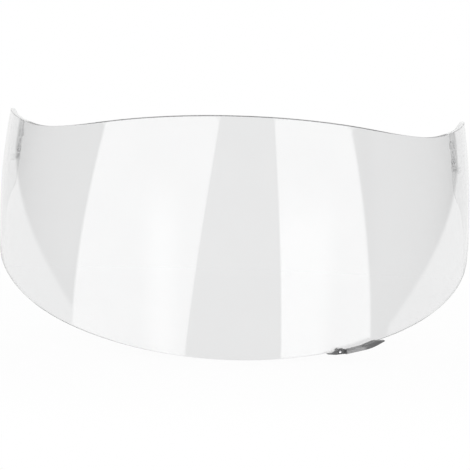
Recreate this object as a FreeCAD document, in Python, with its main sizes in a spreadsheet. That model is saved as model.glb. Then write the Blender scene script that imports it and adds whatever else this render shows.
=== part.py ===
import FreeCAD, Part
import Sketcher
import math
import os

# Clear face shield of a motorcycle helmet, with the small lever on its lower edge.
# Millimetres and degrees. The origin is midway between the two ear pivots, on their axis.
# +Z is up, the convex front faces -Y, and +X is the wearer's left.

SIZES = {
    # The shell from above: a front arc, two shoulder arcs and two straight ears.
    "wall": 2.1,
    "front_reach": 149.6,
    "low_setback": 1.7,
    "high_setback": 3.9,
    "waist_half_width": 129.7,
    "rim_half_width": 121.7,
    "front_radius": 145.0,
    "waist_drop": 38.0,
    "section_rise": 74.0,
    # The outline from the side, as corners that are rounded off.
    "crown_rise": 22.4,
    "dip_setback": 38.8,
    "dip_rise": 10.9,
    "dip_radius": 77.0,
    "brow_setback": 103.6,
    "brow_rise": 21.9,
    "brow_radius": 60.0,
    "ear_rise": 14.1,
    "ear_back": 8.0,
    "ear_drop": 20.0,
    "ear_top_radius": 9.0,
    "ear_low_radius": 11.0,
    "notch_reach": 26.5,
    "notch_drop": 28.9,
    "notch_radius": 22.0,
    "cheek_reach": 59.7,
    "cheek_drop": 59.7,
    "cheek_radius": 40.0,
    "chin_drop": 101.4,
    # What is moulded on the inside of each ear.
    "pivot_bore": 5.0,
    "boss_diameter": 8.4,
    "boss_height": 0.6,
    "hook_inner_radius": 5.6,
    "hook_outer_radius": 9.6,
    "hook_height": 1.2,
    "guide_length": 28.0,
    "guide_front": 25.0,
    "guide_drop": 4.4,
    "guide_width": 3.7,
    "guide_height": 1.0,
    # The lever, its pin and its two washers.
    "lobe_diameter": 3.2,
    "pin_inset": 0.1,
    "pin_shank": 1.2,
    "pin_head": 1.8,
    "pin_head_height": 0.5,
    "tail_head": 1.8,
    "tail_head_height": 0.6,
    "friction_washer_diameter": 2.2,
    "friction_washer_thickness": 0.5,
    "backing_washer_diameter": 2.6,
    "backing_washer_thickness": 0.6,
    "plate_thickness": 1.9,
    "sink_diameter": 2.0,
    "sink_depth": 0.7,
    "lever_tail": 26.4,
    "lever_height": 4.1,
    "ledge_start": 2.5,
    "ledge_depth": 4.4,
    "scoop_fall": 1.5,
    "lip_start": 0.5,
    "lip_fall": 1.6,
    "lip_depth": 1.9,
    # Clearances, and how far a cutting shape runs past what it cuts.
    "seat_gap": 0.03,
    "running_gap": 0.05,
    "tail_ease": 0.45,
    "overrun": 6.0,
}

# Where the front arc hands over to the shoulder, and where the lever's pin sits on the front arc.
FRONT_TURN = 35.9
PIN_TURN = 22.8
HOOK_TURN = 50.0
FULL_TURN = 360.0
RIGHT_TURN = 90.0

# The lever from the front: shares of its tail length and of its height, then a corner radius
# as a share of its height. It runs from the nose along the top to the tip and back below.
LEVER_EDGE_SHARES = [
    (-0.29, 0.03, 0.02),
    (-0.12, 0.00, 0.80),
    (-0.025, 0.32, 0.30),
    (0.06, 0.32, 0.30),
    (0.12, 0.10, 0.50),
    (0.42, 0.08, 4.00),
    (0.76, 0.40, 2.00),
    (1.00, 0.09, 0.036),
    (0.985, 0.015, 0.06),
    (0.78, -0.18, 2.00),
    (0.52, -0.37, 4.00),
    (0.11, -0.40, 0.50),
    (-0.10, -0.27, 0.80),
]

# Shares of the lever's tail, its ledge and its height that shape the ledge.
LEDGE_BEND_SHARE = 0.70
LEDGE_TIP_SHARE = 0.12
LEDGE_CORNER_SHARE = 0.12
LEDGE_SWEEP_SHARE = 0.80
SCOOP_START_SHARE = 0.02
# The rounding of a rivet's head, as a share of its height.
ROUND_SHARE = 0.60
SETTLE_STEPS = 40


def breadth_share(sizes, height):
    """The shell's width at a height, as a share of its width at the waist."""
    fall = sizes["waist_half_width"] - sizes["rim_half_width"]
    climb = (height + sizes["waist_drop"]) / sizes["section_rise"]
    return 1 - fall * climb * climb / sizes["waist_half_width"]


def reach_at(sizes, height):
    """How far the shell's foremost point lies in front of the pivots at a height."""
    climb = (height + sizes["waist_drop"]) / sizes["section_rise"]
    lean = (sizes["low_setback"] - sizes["high_setback"]) / 2
    bow = -(sizes["low_setback"] + sizes["high_setback"]) / 2
    return sizes["front_reach"] + lean * climb + bow * climb * climb


def half_width_at(sizes, height):
    return sizes["waist_half_width"] * breadth_share(sizes, height)


def place_pin(sizes):
    """Find the lever's pin on the lower edge of the outer face, and its outward direction."""
    turn = math.radians(PIN_TURN)
    run = sizes["front_reach"] - sizes["cheek_reach"]
    edge_slope = (sizes["chin_drop"] - sizes["cheek_drop"]) / run
    height = -sizes["chin_drop"]
    depth = -sizes["front_reach"]
    for step in range(SETTLE_STEPS):
        radius = sizes["front_radius"] * breadth_share(sizes, height)
        depth = radius * (1 - math.cos(turn)) - reach_at(sizes, height)
        height = edge_slope * (depth + sizes["front_reach"]) - sizes["chin_drop"] + sizes["pin_inset"]
    across = radius * math.sin(turn)
    # The face leans with height: the width and the reach both change.
    climb = (height + sizes["waist_drop"]) / sizes["section_rise"]
    fall = sizes["waist_half_width"] - sizes["rim_half_width"]
    spread = -2 * fall * climb / sizes["section_rise"] * sizes["front_radius"] / sizes["waist_half_width"]
    lean = (sizes["low_setback"] - sizes["high_setback"]) / 2
    bow = -(sizes["low_setback"] + sizes["high_setback"]) / 2
    advance = (lean + 2 * bow * climb) / sizes["section_rise"]
    tilt = spread * math.sin(turn) ** 2 + advance * math.cos(turn)
    tilt = tilt - spread * (1 - math.cos(turn)) * math.cos(turn)
    outward = FreeCAD.Vector(math.sin(turn), -math.cos(turn), -tilt)
    outward.normalize()
    level = FreeCAD.Vector(math.cos(turn), math.sin(turn), 0)
    upward = outward.cross(level)
    climb_turn = math.atan(edge_slope * math.sin(turn))
    along = level * math.cos(climb_turn) + upward * math.sin(climb_turn)
    turned = FreeCAD.Rotation(along, outward.cross(along), outward, "ZXY")
    return FreeCAD.Placement(FreeCAD.Vector(across, depth, height), turned)


def derive(sizes):
    """Sizes that follow from the driving ones."""
    more = {}
    turn = math.sin(math.radians(FRONT_TURN))
    shoulder = (sizes["waist_half_width"] - sizes["front_radius"] * turn) / (1 - turn)
    levels = {
        "low": -sizes["waist_drop"] - sizes["section_rise"],
        "waist": -sizes["waist_drop"],
        "high": sizes["section_rise"] - sizes["waist_drop"],
    }
    for level in levels:
        height = levels[level]
        reach = reach_at(sizes, height)
        share = breadth_share(sizes, height)
        for skin, inset in (("outer", 0), ("inner", sizes["wall"])):
            more[skin + "_" + level + "_front"] = sizes["front_radius"] * share - inset
            more[skin + "_" + level + "_shoulder"] = shoulder * share - inset
            more[skin + "_" + level + "_half"] = half_width_at(sizes, height) - inset
            more[skin + "_" + level + "_reach"] = reach - inset
        more["level_" + level] = height
    more["outer_back"] = sizes["ear_back"] + sizes["overrun"]
    more["inner_back"] = more["outer_back"] + sizes["overrun"]
    more["dip_reach"] = sizes["front_reach"] - sizes["dip_setback"]
    more["brow_reach"] = sizes["front_reach"] - sizes["brow_setback"]
    more["outline_front"] = sizes["front_reach"] + sizes["overrun"]
    more["form_width"] = 2 * (sizes["waist_half_width"] + sizes["overrun"])
    # The moulded details stand on the inside of the ear and root halfway into its wall.
    for detail, height in (
        ("boss", 0),
        ("hook", (sizes["hook_inner_radius"] + sizes["hook_outer_radius"]) / 2),
        ("guide", -sizes["guide_drop"] - sizes["guide_width"] / 2),
    ):
        face = half_width_at(sizes, height) - sizes["wall"]
        more[detail + "_plane"] = face - sizes[detail + "_height"]
        more[detail + "_pad"] = sizes[detail + "_height"] + sizes["wall"] / 2
    more["guide_low"] = sizes["guide_drop"] + sizes["guide_width"]
    more["guide_rear"] = sizes["guide_length"] - sizes["guide_front"]
    # The stack on the pin, outwards from the shell's outer face.
    more["plate_floor"] = sizes["seat_gap"] + sizes["friction_washer_thickness"] + sizes["running_gap"]
    more["plate_top"] = more["plate_floor"] + sizes["plate_thickness"]
    more["sink_floor"] = more["plate_top"] - sizes["sink_depth"]
    more["head_floor"] = more["sink_floor"] + sizes["running_gap"]
    more["head_top"] = more["head_floor"] + sizes["pin_head_height"]
    more["backing_top"] = sizes["wall"] + sizes["seat_gap"]
    more["backing_floor"] = more["backing_top"] + sizes["backing_washer_thickness"]
    more["tail_head_floor"] = more["backing_floor"] + sizes["tail_head_height"]
    more["pin_radius"] = sizes["pin_shank"] / 2
    more["pin_hole"] = more["pin_radius"] + sizes["running_gap"]
    more["lobe_radius"] = sizes["lobe_diameter"] / 2
    more["pin_head_radius"] = sizes["pin_head"] / 2
    more["tail_head_radius"] = sizes["tail_head"] / 2
    more["washer_hole"] = 2 * more["pin_hole"]
    more["lever_bore"] = 2 * more["pin_hole"]
    more["rivet_round"] = sizes["pin_head_height"] * ROUND_SHARE
    # The lever's plate is bent round the shell; its ledge stands out from the plate.
    shell_bend = sizes["front_radius"] * breadth_share(sizes, -sizes["chin_drop"])
    more["plate_bend"] = 1 / (1 / shell_bend - 2 * sizes["tail_ease"] / sizes["lever_tail"] ** 2)
    more["plate_inner"] = more["plate_bend"] + more["plate_floor"]
    more["plate_outer"] = more["plate_inner"] + sizes["plate_thickness"]
    more["ledge_top"] = more["plate_floor"] + sizes["ledge_depth"]
    more["ledge_root"] = more["plate_floor"] + sizes["plate_thickness"] / 2
    more["ledge_bend"] = LEDGE_BEND_SHARE * sizes["lever_tail"]
    more["ledge_shoulder"] = more["ledge_top"] - more["ledge_bend"] ** 2 / (2 * more["plate_inner"])
    more["tip_root"] = more["ledge_root"] - sizes["lever_tail"] ** 2 / (2 * more["plate_inner"])
    more["tip_out"] = more["tip_root"] + sizes["plate_thickness"] / 2 + LEDGE_TIP_SHARE * sizes["ledge_depth"]
    more["ledge_corner"] = LEDGE_CORNER_SHARE * sizes["ledge_depth"]
    more["ledge_sweep"] = LEDGE_SWEEP_SHARE * sizes["lever_tail"]
    more["lever_block"] = 2 * sizes["lever_height"]
    more["lever_frame"] = sizes["lever_tail"] + sizes["overrun"]
    more["edge_run"] = sizes["overrun"] + more["ledge_top"] + sizes["overrun"]
    more["scoop_low"] = sizes["lever_height"] * SCOOP_START_SHARE
    more["scoop_high"] = more["scoop_low"] + sizes["scoop_fall"]
    more["scoop_out"] = more["ledge_top"] + sizes["overrun"]
    more["scoop_past"] = more["scoop_high"] + sizes["lever_height"]
    more["lip_end"] = sizes["lip_start"] + sizes["lip_fall"]
    more["lip_floor"] = more["ledge_top"] - sizes["lip_depth"]
    for index, (along, up, rounding) in enumerate(LEVER_EDGE_SHARES):
        more["lever_along_%d" % index] = abs(along) * sizes["lever_tail"]
        more["lever_up_%d" % index] = abs(up) * sizes["lever_height"]
        more["lever_round_%d" % index] = rounding * sizes["lever_height"]
    return more


def fill_sheet(doc, sizes):
    sheet = doc.addObject("Spreadsheet::Sheet", "Sizes")
    for row, alias in enumerate(sizes, start=1):
        sheet.set("A%d" % row, alias)
        sheet.set("B%d" % row, repr(float(sizes[alias])))
        sheet.setAlias("B%d" % row, alias)
    doc.recompute()
    return sheet


def new_body(doc, name):
    body = doc.addObject("PartDesign::Body", name)
    body.Label = name
    return body


def new_sketch(body, name, role):
    sketch = body.newObject("Sketcher::SketchObject", name)
    plane = [item for item in body.Origin.OriginFeatures if item.Role == role][0]
    sketch.AttachmentSupport = [(plane, "")]
    sketch.MapMode = "FlatFace"
    return sketch


def bind(sketch, constraint, alias):
    """Add a constraint and tie its value to a cell."""
    index = sketch.addConstraint(constraint)
    sketch.setExpression("Constraints[%d]" % index, "Sizes." + alias)


def signed(sizes, term):
    if term == "":
        return 0.0
    return -sizes[term[1:]] if term[0] == "-" else sizes[term]


def pin_point(sketch, sizes, geometry, vertex, across, up):
    """Hold a point at signed distances from the sketch's origin."""
    for kind, term, axis in (("DistanceX", across, -2), ("DistanceY", up, -1)):
        place = signed(sizes, term)
        if place == 0:
            sketch.addConstraint(Sketcher.Constraint("PointOnObject", geometry, vertex, axis))
            continue
        if place < 0:
            held = Sketcher.Constraint(kind, geometry, vertex, -1, 1, -place)
        else:
            held = Sketcher.Constraint(kind, -1, 1, geometry, vertex, place)
        index = sketch.addConstraint(held)
        sketch.setExpression("Constraints[%d]" % index, "abs(Sizes.%s)" % term.lstrip("-"))


def corner_arc(before, here, after, radius):
    """The tangent arc in a corner: its centre and its two ends."""
    back = (before - here).normalize()
    ahead = (after - here).normalize()
    half = back.getAngle(ahead) / 2
    middle = (back + ahead).normalize()
    centre = here + middle * (radius / math.sin(half))
    cut = radius / math.tan(half)
    return centre, here + back * cut, here + ahead * cut


def draw_outline(sketch, sizes, corners):
    """Closed outline of straight runs, with an arc in each corner that has a radius."""
    points = []
    for across, up, radius in corners:
        points.append(FreeCAD.Vector(signed(sizes, across), signed(sizes, up), 0))
    starts = []
    ends = []
    arcs = []
    for index, (across, up, radius) in enumerate(corners):
        here = points[index]
        if radius == "":
            arcs.append(None)
            starts.append(here)
            ends.append(here)
            continue
        before = points[index - 1]
        after = points[(index + 1) % len(points)]
        centre, entry, leave = corner_arc(before, here, after, sizes[radius])
        ends.append(entry)
        starts.append(leave)
        first = math.atan2(entry.y - centre.y, entry.x - centre.x)
        last = math.atan2(leave.y - centre.y, leave.x - centre.x)
        sweep = (last - first) % (2 * math.pi)
        forward = sweep < math.pi
        circle = Part.Circle(centre, FreeCAD.Vector(0, 0, 1), sizes[radius])
        if forward:
            arcs.append((Part.ArcOfCircle(circle, first, first + sweep), 1, 2))
        else:
            arcs.append((Part.ArcOfCircle(circle, last, last + 2 * math.pi - sweep), 2, 1))
    runs = []
    for index in range(len(corners)):
        following = (index + 1) % len(corners)
        runs.append(sketch.addGeometry(Part.LineSegment(starts[index], ends[following]), False))
    for index, (across, up, radius) in enumerate(corners):
        mark = sketch.addGeometry(Part.Point(points[index]), True)
        pin_point(sketch, sizes, mark, 1, across, up)
        incoming = runs[index - 1]
        outgoing = runs[index]
        if arcs[index] is None:
            sketch.addConstraint(Sketcher.Constraint("Coincident", incoming, 2, mark, 1))
            sketch.addConstraint(Sketcher.Constraint("Coincident", outgoing, 1, mark, 1))
            continue
        shape, entry, leave = arcs[index]
        arc = sketch.addGeometry(shape, False)
        sketch.addConstraint(Sketcher.Constraint("Tangent", incoming, 2, arc, entry))
        sketch.addConstraint(Sketcher.Constraint("Tangent", arc, leave, outgoing, 1))
        sketch.addConstraint(Sketcher.Constraint("PointOnObject", mark, 1, incoming))
        sketch.addConstraint(Sketcher.Constraint("PointOnObject", mark, 1, outgoing))
        bind(sketch, Sketcher.Constraint("Radius", arc, sizes[radius]), radius)


def draw_section(sketch, sizes, skin, level):
    """One level section of the shell: front arc, two shoulders, two straight sides and a back."""
    name = skin + "_" + level
    front = sizes[name + "_front"]
    shoulder = sizes[name + "_shoulder"]
    half = sizes[name + "_half"]
    reach = sizes[name + "_reach"]
    back = sizes[skin + "_back"]
    turn = math.radians(FRONT_TURN)
    quarter = math.pi / 2
    axis = FreeCAD.Vector(0, 0, 1)
    front_centre = FreeCAD.Vector(0, front - reach, 0)
    step = front - shoulder
    side = FreeCAD.Vector(step * math.sin(turn), front_centre.y - step * math.cos(turn), 0)
    mirrored = FreeCAD.Vector(-side.x, side.y, 0)
    front_circle = Part.Circle(front_centre, axis, front)
    face = sketch.addGeometry(Part.ArcOfCircle(front_circle, -quarter - turn, turn - quarter), False)
    right_circle = Part.Circle(side, axis, shoulder)
    right = sketch.addGeometry(Part.ArcOfCircle(right_circle, turn - quarter, 0), False)
    left_circle = Part.Circle(mirrored, axis, shoulder)
    left = sketch.addGeometry(Part.ArcOfCircle(left_circle, math.pi, 3 * quarter - turn), False)
    corners = [
        FreeCAD.Vector(half, side.y, 0),
        FreeCAD.Vector(half, back, 0),
        FreeCAD.Vector(-half, back, 0),
        FreeCAD.Vector(-half, side.y, 0),
    ]
    right_ear = sketch.addGeometry(Part.LineSegment(corners[0], corners[1]), False)
    rear = sketch.addGeometry(Part.LineSegment(corners[1], corners[2]), False)
    left_ear = sketch.addGeometry(Part.LineSegment(corners[2], corners[3]), False)
    apex = sketch.addGeometry(Part.Point(FreeCAD.Vector(0, -reach, 0)), True)
    for constraint in (
        Sketcher.Constraint("Tangent", face, 2, right, 1),
        Sketcher.Constraint("Tangent", right, 2, right_ear, 1),
        Sketcher.Constraint("Coincident", right_ear, 2, rear, 1),
        Sketcher.Constraint("Coincident", rear, 2, left_ear, 1),
        Sketcher.Constraint("Tangent", left_ear, 2, left, 1),
        Sketcher.Constraint("Tangent", left, 2, face, 1),
        Sketcher.Constraint("Vertical", right_ear),
        Sketcher.Constraint("Vertical", left_ear),
        Sketcher.Constraint("Horizontal", rear),
        Sketcher.Constraint("PointOnObject", face, 3, -2),
        Sketcher.Constraint("Equal", right, left),
        Sketcher.Constraint("PointOnObject", apex, 1, face),
    ):
        sketch.addConstraint(constraint)
    bind(sketch, Sketcher.Constraint("Radius", face, front), name + "_front")
    bind(sketch, Sketcher.Constraint("Radius", right, shoulder), name + "_shoulder")
    pin_point(sketch, sizes, right_ear, 2, name + "_half", skin + "_back")
    held = Sketcher.Constraint("DistanceX", left_ear, 1, -1, 1, half)
    bind(sketch, held, name + "_half")
    pin_point(sketch, sizes, apex, 1, "", "-" + name + "_reach")


def draw_circle(sketch, sizes, diameter):
    circle = Part.Circle(FreeCAD.Vector(0, 0, 0), FreeCAD.Vector(0, 0, 1), sizes[diameter] / 2)
    ring = sketch.addGeometry(circle, False)
    sketch.addConstraint(Sketcher.Constraint("Coincident", ring, 3, -1, 1))
    bind(sketch, Sketcher.Constraint("Diameter", ring, sizes[diameter]), diameter)


def add_loft(body, sizes, kind, skin):
    """Loft one skin of the shell through its three level sections."""
    sketches = []
    for level in ("low", "waist", "high"):
        sketch = new_sketch(body, skin + "_" + level, "XY_Plane")
        sketch.setExpression("AttachmentOffset.Base.z", "Sizes.level_" + level)
        draw_section(sketch, sizes, skin, level)
        sketches.append(sketch)
    loft = body.newObject(kind, skin + "_loft")
    loft.Profile = sketches[0]
    loft.Sections = sketches[1:]
    loft.Ruled = False
    return loft


def add_pad(body, sketch, name, length):
    pad = body.newObject("PartDesign::Pad", name)
    pad.Profile = sketch
    pad.setExpression("Length", "Sizes." + length)
    return pad


def add_pocket(body, sketch, name, length):
    pocket = body.newObject("PartDesign::Pocket", name)
    pocket.Profile = sketch
    pocket.setExpression("Length", "Sizes." + length)
    return pocket


def ear_details(doc, body, sizes):
    """The pivot boss, the hook above it and the guide rib below it, on both ears."""
    boss = new_sketch(body, "boss_outline", "YZ_Plane")
    boss.setExpression("AttachmentOffset.Base.z", "Sizes.boss_plane")
    draw_circle(boss, sizes, "boss_diameter")
    boss_pad = add_pad(body, boss, "boss_pad", "boss_pad")

    hook = new_sketch(body, "hook_outline", "YZ_Plane")
    hook.setExpression("AttachmentOffset.Base.z", "Sizes.hook_plane")
    draw_sector(hook, sizes, "hook_inner_radius", "hook_outer_radius")
    hook_pad = add_pad(body, hook, "hook_pad", "hook_pad")

    guide = new_sketch(body, "guide_outline", "YZ_Plane")
    guide.setExpression("AttachmentOffset.Base.z", "Sizes.guide_plane")
    draw_outline(guide, sizes, [
        ("-guide_front", "-guide_drop", ""),
        ("-guide_front", "-guide_low", ""),
        ("guide_rear", "-guide_low", ""),
        ("guide_rear", "-guide_drop", ""),
    ])
    guide_pad = add_pad(body, guide, "guide_pad", "guide_pad")
    doc.recompute()

    both = body.newObject("PartDesign::Mirrored", "other_ear")
    both.Originals = [boss_pad, hook_pad, guide_pad]
    middle = [item for item in body.Origin.OriginFeatures if item.Role == "YZ_Plane"][0]
    both.MirrorPlane = (middle, [""])
    body.Tip = both


def draw_sector(sketch, sizes, inner, outer):
    """A ring sector that stands evenly about the vertical above the origin."""
    half = math.radians(HOOK_TURN) / 2
    first = math.pi / 2 - half
    last = math.pi / 2 + half
    axis = FreeCAD.Vector(0, 0, 1)
    centre = FreeCAD.Vector(0, 0, 0)
    small = sketch.addGeometry(Part.ArcOfCircle(Part.Circle(centre, axis, sizes[inner]), first, last), False)
    large = sketch.addGeometry(Part.ArcOfCircle(Part.Circle(centre, axis, sizes[outer]), first, last), False)
    ends = []
    for angle in (first, last):
        ray = FreeCAD.Vector(math.cos(angle), math.sin(angle), 0)
        ends.append(sketch.addGeometry(Part.LineSegment(ray * sizes[inner], ray * sizes[outer]), False))
    for vertex, end in ((1, ends[0]), (2, ends[1])):
        sketch.addConstraint(Sketcher.Constraint("Coincident", small, vertex, end, 1))
        sketch.addConstraint(Sketcher.Constraint("Coincident", large, vertex, end, 2))
        sketch.addConstraint(Sketcher.Constraint("PointOnObject", -1, 1, end))
    sketch.addConstraint(Sketcher.Constraint("Coincident", small, 3, -1, 1))
    sketch.addConstraint(Sketcher.Constraint("Coincident", large, 3, -1, 1))
    sketch.addConstraint(Sketcher.Constraint("Symmetric", small, 1, small, 2, -2))
    bind(sketch, Sketcher.Constraint("Radius", small, sizes[inner]), inner)
    bind(sketch, Sketcher.Constraint("Radius", large, sizes[outer]), outer)
    sketch.addConstraint(Sketcher.Constraint("Angle", ends[0], 1, ends[1], 1, 2 * half))


def make_shell_blank(doc, sizes):
    """The curved shell at full height, hollow behind, with the details inside its ears."""
    body = new_body(doc, "shell_blank")
    add_loft(body, sizes, "PartDesign::AdditiveLoft", "outer")
    doc.recompute()
    add_loft(body, sizes, "PartDesign::SubtractiveLoft", "inner")
    doc.recompute()
    ear_details(doc, body, sizes)
    return body


def make_side_form(doc, sizes, pin_place):
    """The side outline as a block across the shell, with the round lobe for the lever's pin."""
    body = new_body(doc, "side_form")
    outline = new_sketch(body, "side_outline", "YZ_Plane")
    draw_outline(outline, sizes, [
        ("-outline_front", "crown_rise", ""),
        ("-front_reach", "crown_rise", ""),
        ("-dip_reach", "dip_rise", "dip_radius"),
        ("-brow_reach", "brow_rise", "brow_radius"),
        ("ear_back", "ear_rise", "ear_top_radius"),
        ("ear_back", "-ear_drop", "ear_low_radius"),
        ("-notch_reach", "-notch_drop", "notch_radius"),
        ("-cheek_reach", "-cheek_drop", "cheek_radius"),
        ("-front_reach", "-chin_drop", ""),
        ("-outline_front", "-chin_drop", ""),
    ])
    block = add_pad(body, outline, "side_block", "form_width")
    block.SideType = "Symmetric"
    doc.recompute()
    lobe = doc.addObject("Part::Cylinder", "pin_lobe")
    lobe.setExpression("Radius", "Sizes.lobe_radius")
    lobe.setExpression("Height", "2 * Sizes.overrun")
    lobe.Placement = pin_place.multiply(shift(0, 0, -sizes["overrun"]))
    both = doc.addObject("Part::Fuse", "shield_side")
    both.Base = body
    both.Tool = lobe
    return both


def shift(x, y, z):
    return FreeCAD.Placement(FreeCAD.Vector(x, y, z), FreeCAD.Rotation())


def make_shield(doc, sizes, pin_place):
    """The clear shield: the shell inside its side outline, with its pivot and pin holes."""
    common = doc.addObject("Part::Common", "shield_form")
    common.Base = make_shell_blank(doc, sizes)
    common.Tool = make_side_form(doc, sizes, pin_place)
    pivot_hole = doc.addObject("Part::Cylinder", "pivot_hole")
    pivot_hole.setExpression("Radius", "Sizes.pivot_bore / 2")
    pivot_hole.setExpression("Height", "Sizes.form_width")
    sideways = FreeCAD.Rotation(FreeCAD.Vector(0, 1, 0), RIGHT_TURN)
    pivot_hole.Placement = FreeCAD.Placement(FreeCAD.Vector(-sizes["form_width"] / 2, 0, 0), sideways)
    pin_hole = doc.addObject("Part::Cylinder", "pin_hole")
    pin_hole.setExpression("Radius", "Sizes.pin_hole")
    pin_hole.setExpression("Height", "2 * Sizes.overrun")
    pin_hole.Placement = pin_place.multiply(shift(0, 0, -sizes["overrun"]))
    holes = doc.addObject("Part::MultiFuse", "shield_holes")
    holes.Shapes = [pivot_hole, pin_hole]
    shield = doc.addObject("Part::Cut", "shield")
    shield.Base = common
    shield.Tool = holes
    shield.Label = "shield"
    return shield


def make_rivet(doc, sizes, pin_place):
    """The pin: a domed head outside, the shank, and the formed head inside the shield."""
    body = new_body(doc, "pivot_rivet")
    sketch = new_sketch(body, "rivet_profile", "XZ_Plane")
    draw_outline(sketch, sizes, [
        ("", "-tail_head_floor", ""),
        ("tail_head_radius", "-tail_head_floor", "rivet_round"),
        ("tail_head_radius", "-backing_floor", ""),
        ("pin_radius", "-backing_floor", ""),
        ("pin_radius", "head_floor", ""),
        ("pin_head_radius", "head_floor", ""),
        ("pin_head_radius", "head_top", "rivet_round"),
        ("", "head_top", ""),
    ])
    turned = body.newObject("PartDesign::Revolution", "rivet_turned")
    turned.Profile = sketch
    turned.ReferenceAxis = (sketch, ["V_Axis"])
    turned.Angle = FULL_TURN
    body.Placement = pin_place
    return body


def make_washer(doc, sizes, pin_place, name, diameter, thickness, floor):
    """A flat washer on the pin, its floor at a given height along the pin."""
    body = new_body(doc, name)
    sketch = new_sketch(body, name + "_ring", "XY_Plane")
    draw_circle(sketch, sizes, diameter)
    draw_circle(sketch, sizes, "washer_hole")
    add_pad(body, sketch, name + "_pad", thickness)
    body.Placement = pin_place.multiply(shift(0, 0, floor))
    return body


def draw_band(sketch, sizes):
    """The lever's plate from above: a band bent round the shell, evenly to both sides of the pin."""
    axis = FreeCAD.Vector(0, 0, 1)
    centre = FreeCAD.Vector(0, -sizes["plate_bend"], 0)
    first = math.acos(sizes["lever_frame"] / sizes["plate_outer"])
    last = math.pi - first
    curves = []
    for radius in ("plate_inner", "plate_outer"):
        circle = Part.Circle(centre, axis, sizes[radius])
        curve = sketch.addGeometry(Part.ArcOfCircle(circle, first, last), False)
        bind(sketch, Sketcher.Constraint("Radius", curve, sizes[radius]), radius)
        curves.append(curve)
    inner, outer = curves
    sketch.addConstraint(Sketcher.Constraint("Coincident", inner, 3, outer, 3))
    sketch.addConstraint(Sketcher.Constraint("PointOnObject", outer, 3, -2))
    held = Sketcher.Constraint("DistanceY", outer, 3, -1, 1, sizes["plate_bend"])
    bind(sketch, held, "plate_bend")
    for vertex, angle in ((1, first), (2, last)):
        ray = FreeCAD.Vector(math.cos(angle), math.sin(angle), 0)
        near = centre + ray * sizes["plate_inner"]
        end = sketch.addGeometry(Part.LineSegment(near, centre + ray * sizes["plate_outer"]), False)
        sketch.addConstraint(Sketcher.Constraint("Coincident", inner, vertex, end, 1))
        sketch.addConstraint(Sketcher.Constraint("Coincident", outer, vertex, end, 2))
        sketch.addConstraint(Sketcher.Constraint("PointOnObject", outer, 3, end))
    bind(sketch, Sketcher.Constraint("DistanceX", -1, 1, outer, 1, sizes["lever_frame"]), "lever_frame")
    bind(sketch, Sketcher.Constraint("DistanceX", outer, 2, -1, 1, sizes["lever_frame"]), "lever_frame")


def make_lever(doc, sizes, pin_place):
    """The lever: a curved plate on the pin, with a thumb ledge along its tail."""
    body = new_body(doc, "lock_lever")
    plate = new_sketch(body, "plate_plan", "XZ_Plane")
    draw_band(plate, sizes)
    plate_pad = add_pad(body, plate, "plate_pad", "lever_block")
    plate_pad.SideType = "Symmetric"
    doc.recompute()

    ledge = new_sketch(body, "ledge_plan", "XZ_Plane")
    draw_outline(ledge, sizes, [
        ("ledge_start", "ledge_root", ""),
        ("ledge_start", "ledge_top", "ledge_corner"),
        ("ledge_bend", "ledge_shoulder", "ledge_sweep"),
        ("lever_tail", "tip_out", ""),
        ("lever_tail", "tip_root", ""),
    ])
    ledge_pad = add_pad(body, ledge, "ledge_pad", "lever_block")
    ledge_pad.SideType = "Symmetric"
    doc.recompute()

    scoop = new_sketch(body, "scoop_side", "YZ_Plane")
    draw_outline(scoop, sizes, [
        ("scoop_low", "scoop_out", ""),
        ("scoop_low", "ledge_top", ""),
        ("scoop_high", "plate_top", ""),
        ("scoop_past", "plate_top", ""),
        ("scoop_past", "scoop_out", ""),
    ])
    scoop_cut = add_pocket(body, scoop, "scoop_cut", "lever_frame")
    scoop_cut.Reversed = True
    doc.recompute()

    lip = new_sketch(body, "lip_side", "YZ_Plane")
    draw_outline(lip, sizes, [
        ("-lip_start", "ledge_top", ""),
        ("-lip_start", "scoop_out", ""),
        ("-lip_end", "scoop_out", ""),
        ("-lip_end", "lip_floor", ""),
    ])
    lip_cut = add_pocket(body, lip, "lip_cut", "lever_frame")
    lip_cut.Reversed = True
    doc.recompute()

    edge = new_sketch(body, "edge_frame", "XY_Plane")
    edge.setExpression("AttachmentOffset.Base.z", "-Sizes.overrun")
    corners = []
    for index, (along, up, rounding) in enumerate(LEVER_EDGE_SHARES):
        across = ("-" if along < 0 else "") + "lever_along_%d" % index
        height = ("-" if up < 0 else "") + "lever_up_%d" % index
        corners.append((across, height, "lever_round_%d" % index))
    draw_outline(edge, sizes, corners)
    draw_outline(edge, sizes, [
        ("-lever_frame", "lever_frame", ""),
        ("-lever_frame", "-lever_frame", ""),
        ("lever_frame", "-lever_frame", ""),
        ("lever_frame", "lever_frame", ""),
    ])
    edge_cut = add_pocket(body, edge, "edge_cut", "edge_run")
    edge_cut.Reversed = True
    doc.recompute()

    bore = new_sketch(body, "bore_ring", "XY_Plane")
    draw_circle(bore, sizes, "lever_bore")
    bore_cut = add_pocket(body, bore, "bore_cut", "plate_top")
    bore_cut.Reversed = True
    doc.recompute()

    sink = new_sketch(body, "sink_ring", "XY_Plane")
    sink.setExpression("AttachmentOffset.Base.z", "Sizes.sink_floor")
    draw_circle(sink, sizes, "sink_diameter")
    sink_cut = add_pocket(body, sink, "sink_cut", "overrun")
    sink_cut.Reversed = True
    body.Placement = pin_place
    return body


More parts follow.
